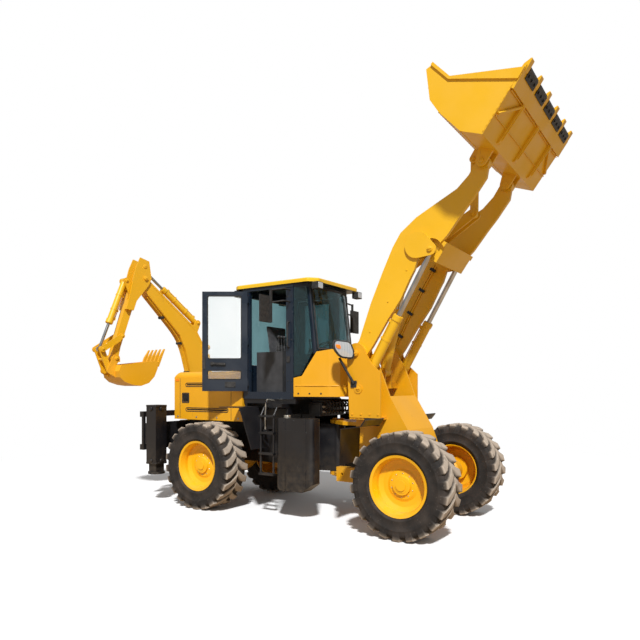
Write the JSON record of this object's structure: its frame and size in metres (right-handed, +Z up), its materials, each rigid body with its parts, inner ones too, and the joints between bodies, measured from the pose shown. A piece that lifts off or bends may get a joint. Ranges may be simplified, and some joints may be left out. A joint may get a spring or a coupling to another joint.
{
  "type": "articulated backhoe loader",
  "caption": "Yellow articulated backhoe loader with a navy cab, its toothed loading bucket raised high and its digging arm folded up beside the rear",
  "frame": {"origin": "on the ground under the machine's centreline, midway between the two axles", "axes": "+X forward, +Y to the operator's left, +Z up"},
  "size_m": [6.2925, 2.4373, 4.993],
  "materials": {
    "black_paint": "satin",
    "yellow_paint": "satin",
    "bright_yellow_paint": "satin",
    "rim_paint": "gloss",
    "tyre_rubber": "matt",
    "navy_paint": "satin",
    "tinted_glass": "clear",
    "chrome_rod": "polished",
    "black_plastic": "matt",
    "worn_steel": "worn",
    "engine_iron": "rough",
    "seat_fabric": "woven"
  },
  "bodies": {
    "rear_frame": {"rear_chassis": "black_paint", "rear_axle": "yellow_paint", "engine_block": "engine_iron", "cab_frame": "navy_paint", "cab_roof": "bright_yellow_paint", "cab_glass": "tinted_glass", "cowl": "yellow_paint", "rear_hood": "yellow_paint", "rear_fenders": "black_plastic", "fuel_tank": "black_plastic", "hydraulic_tank": "black_plastic", "boarding_ladder": "black_plastic", "mirrors": "black_plastic", "work_lamps": "black_plastic", "seat_base": "black_plastic", "seat_cushion": "seat_fabric", "steering_wheel": "black_plastic", "control_levers": "black_plastic", "backhoe_carrier": "black_paint", "backhoe_carriage": "black_paint"},
    "front_frame": {"front_frame": "yellow_paint", "front_axle": "yellow_paint", "front_mudguards": "black_plastic", "headlights": "black_plastic"},
    "wheel_front_left": {"tyre_front_left": "tyre_rubber", "rim_front_left": "rim_paint"},
    "wheel_front_right": {"tyre_front_right": "tyre_rubber", "rim_front_right": "rim_paint"},
    "wheel_rear_left": {"tyre_rear_left": "tyre_rubber", "rim_rear_left": "rim_paint"},
    "wheel_rear_right": {"tyre_rear_right": "tyre_rubber", "rim_rear_right": "rim_paint"},
    "loader_arm": {"loader_arm": "bright_yellow_paint"},
    "loader_bucket": {"loader_bucket": "bright_yellow_paint", "bucket_teeth": "worn_steel"},
    "bellcrank": {"bellcrank": "bright_yellow_paint"},
    "tilt_link": {"tilt_link": "bright_yellow_paint"},
    "lift_barrels": {"lift_barrels": "bright_yellow_paint"},
    "lift_rods": {"lift_rods": "chrome_rod"},
    "tilt_barrel": {"tilt_barrel": "bright_yellow_paint"},
    "tilt_rod": {"tilt_rod": "chrome_rod"},
    "door_left": {"door_left": "navy_paint", "door_glass_left": "tinted_glass"},
    "door_right": {"door_right": "navy_paint", "door_glass_right": "tinted_glass"},
    "swing_post": {"swing_post": "yellow_paint"},
    "hoe_boom": {"hoe_boom": "bright_yellow_paint"},
    "hoe_dipper": {"hoe_dipper": "bright_yellow_paint"},
    "hoe_bucket": {"hoe_bucket": "bright_yellow_paint", "hoe_teeth": "worn_steel"},
    "guide_link": {"guide_link": "bright_yellow_paint"},
    "bucket_link": {"bucket_link": "bright_yellow_paint"},
    "boom_barrel": {"boom_barrel": "bright_yellow_paint"},
    "boom_rod": {"boom_rod": "chrome_rod"},
    "dipper_barrel": {"dipper_barrel": "bright_yellow_paint"},
    "dipper_rod": {"dipper_rod": "chrome_rod"},
    "bucket_barrel": {"bucket_barrel": "bright_yellow_paint"},
    "bucket_rod": {"bucket_rod": "chrome_rod"},
    "stabilizer_left": {"stabilizer_left": "black_paint"},
    "stabilizer_right": {"stabilizer_right": "black_paint"}
  },
  "joints": [
    {"name": "articulation", "type": "hinge", "parent": "rear_frame", "child": "front_frame", "pos_m": [0.15, 0, 0.86], "axis": [0, 0, 1], "range_deg": [-35, 35]},
    {"name": "wheel_front_left_spin", "type": "hinge", "parent": "front_frame", "child": "wheel_front_left", "pos_m": [1.5, 0.8, 0.59], "axis": [0, 1, 0], "continuous": true},
    {"name": "wheel_front_right_spin", "type": "hinge", "parent": "front_frame", "child": "wheel_front_right", "pos_m": [1.5, -0.8, 0.59], "axis": [0, 1, 0], "continuous": true},
    {"name": "wheel_rear_left_spin", "type": "hinge", "parent": "rear_frame", "child": "wheel_rear_left", "pos_m": [-1.5, 0.8, 0.59], "axis": [0, 1, 0], "continuous": true},
    {"name": "wheel_rear_right_spin", "type": "hinge", "parent": "rear_frame", "child": "wheel_rear_right", "pos_m": [-1.5, -0.8, 0.59], "axis": [0, 1, 0], "continuous": true},
    {"name": "arm_lift", "type": "hinge", "parent": "front_frame", "child": "loader_arm", "pos_m": [0.73, 0, 2.065], "axis": [0, 1, 0], "range_deg": [0, 104]},
    {"name": "bucket_tilt", "type": "hinge", "parent": "loader_arm", "child": "loader_bucket", "pos_m": [2.25978, 0, 4.07019], "axis": [0, 1, 0], "range_deg": [-45, 90]},
    {"name": "bellcrank_pivot", "type": "hinge", "parent": "loader_arm", "child": "bellcrank", "pos_m": [1.53713, 0, 3.39204], "axis": [0, 1, 0], "range_deg": [-30, 20]},
    {"name": "tilt_link_pivot", "type": "hinge", "parent": "loader_bucket", "child": "tilt_link", "pos_m": [2.01592, 0, 4.29244], "axis": [0, 1, 0], "range_deg": [-45, 25]},
    {"name": "lift_barrel_pivot", "type": "hinge", "parent": "front_frame", "child": "lift_barrels", "pos_m": [0.765, 0, 1.637], "axis": [0, 1, 0], "range_deg": [-2, 103]},
    {"name": "lift_rod_stroke", "type": "slide", "parent": "lift_barrels", "child": "lift_rods", "axis": [0.4961, 0, 0.8682], "range_m": [-0.7, 0.01]},
    {"name": "tilt_barrel_pivot", "type": "hinge", "parent": "front_frame", "child": "tilt_barrel", "pos_m": [0.847, 0, 1.844], "axis": [0, 1, 0], "range_deg": [-2, 108]},
    {"name": "tilt_rod_stroke", "type": "slide", "parent": "tilt_barrel", "child": "tilt_rod", "axis": [0.2385, 0, 0.9712], "range_m": [-0.42, 0.01]},
    {"name": "door_left_hinge", "type": "hinge", "parent": "rear_frame", "child": "door_left", "pos_m": [-0.914, 0.6, 2.28], "axis": [0, 0, 1], "range_deg": [0, 146]},
    {"name": "door_right_hinge", "type": "hinge", "parent": "rear_frame", "child": "door_right", "pos_m": [-0.914, -0.6, 2.28], "axis": [0, 0, 1], "range_deg": [0, 146]},
    {"name": "backhoe_swing", "type": "hinge", "parent": "rear_frame", "child": "swing_post", "pos_m": [-2.845, 0.61, 0.93], "axis": [0, 0, 1], "range_deg": [-170, 10]},
    {"name": "hoe_boom_lift", "type": "hinge", "parent": "swing_post", "child": "hoe_boom", "pos_m": [-2.89362, 0.33425, 1.2], "axis": [0.9848, -0.1736, 0], "range_deg": [-10, 90]},
    {"name": "hoe_dipper_crowd", "type": "hinge", "parent": "hoe_boom", "child": "hoe_dipper", "pos_m": [-3.0605, -0.61215, 3.33], "axis": [-0.9848, 0.1736, 0], "range_deg": [-12, 105]},
    {"name": "hoe_bucket_curl", "type": "hinge", "parent": "hoe_dipper", "child": "hoe_bucket", "pos_m": [-3.14298, -1.07993, 2.086], "axis": [-0.9848, 0.1736, 0], "range_deg": [-5, 120]},
    {"name": "guide_link_pivot", "type": "hinge", "parent": "hoe_dipper", "child": "guide_link", "pos_m": [-3.12805, -0.99524, 2.42], "axis": [-0.9848, 0.1736, 0], "range_deg": [-4, 64]},
    {"name": "bucket_link_pivot", "type": "hinge", "parent": "guide_link", "child": "bucket_link", "pos_m": [-3.18014, -1.29068, 2.215], "axis": [-0.9848, 0.1736, 0], "range_deg": [-57, 4]},
    {"name": "boom_barrel_pivot", "type": "hinge", "parent": "swing_post", "child": "boom_barrel", "pos_m": [-2.83458, 0.66909, 1.43], "axis": [0.9848, -0.1736, 0], "range_deg": [-11, 86]},
    {"name": "boom_rod_stroke", "type": "slide", "parent": "boom_barrel", "child": "boom_rod", "axis": [-0.0192, -0.1088, 0.9939], "range_m": [-0.075, 0.57]},
    {"name": "dipper_barrel_pivot", "type": "hinge", "parent": "hoe_boom", "child": "dipper_barrel", "pos_m": [-2.88841, 0.3638, 2.725], "axis": [-0.9848, 0.1736, 0], "range_deg": [-4, 1.5]},
    {"name": "dipper_rod_stroke", "type": "slide", "parent": "dipper_barrel", "child": "dipper_rod", "axis": [-0.1365, -0.7739, 0.6184], "range_m": [-0.3, 0.04]},
    {"name": "bucket_barrel_pivot", "type": "hinge", "parent": "hoe_dipper", "child": "bucket_barrel", "pos_m": [-3.11068, -0.89676, 3.265], "axis": [-0.9848, 0.1736, 0], "range_deg": [-1, 13]},
    {"name": "bucket_rod_stroke", "type": "slide", "parent": "bucket_barrel", "child": "bucket_rod", "axis": [-0.0618, -0.3506, -0.9345], "range_m": [-0.32, 0.02]},
    {"name": "stabilizer_left_drop", "type": "slide", "parent": "rear_frame", "child": "stabilizer_left", "axis": [0, 0, -1], "range_m": [0, 0.45]},
    {"name": "stabilizer_right_drop", "type": "slide", "parent": "rear_frame", "child": "stabilizer_right", "axis": [0, 0, -1], "range_m": [0, 0.45]}
  ],
  "couplings": [
    {"joint": "bellcrank_pivot", "follows": "bucket_tilt", "ratio": -0.267},
    {"joint": "tilt_link_pivot", "follows": "bucket_tilt", "ratio": -0.449},
    {"joint": "lift_barrel_pivot", "follows": "arm_lift", "ratio": 0.965},
    {"joint": "lift_rod_stroke", "follows": "arm_lift", "m_per_rad": -0.373},
    {"joint": "tilt_barrel_pivot", "follows": "arm_lift", "ratio": 1.014},
    {"joint": "tilt_rod_stroke", "follows": "arm_lift", "m_per_rad": -0.217},
    {"joint": "guide_link_pivot", "follows": "hoe_bucket_curl", "ratio": 0.52},
    {"joint": "bucket_link_pivot", "follows": "hoe_bucket_curl", "ratio": -0.46},
    {"joint": "boom_barrel_pivot", "follows": "hoe_boom_lift", "ratio": 0.93},
    {"joint": "boom_rod_stroke", "follows": "hoe_boom_lift", "m_per_rad": 0.356},
    {"joint": "dipper_barrel_pivot", "follows": "hoe_dipper_crowd", "ratio": -0.01},
    {"joint": "dipper_rod_stroke", "follows": "hoe_dipper_crowd", "m_per_rad": -0.155},
    {"joint": "bucket_barrel_pivot", "follows": "hoe_bucket_curl", "ratio": 0.1},
    {"joint": "bucket_rod_stroke", "follows": "hoe_bucket_curl", "m_per_rad": -0.147}
  ]
}
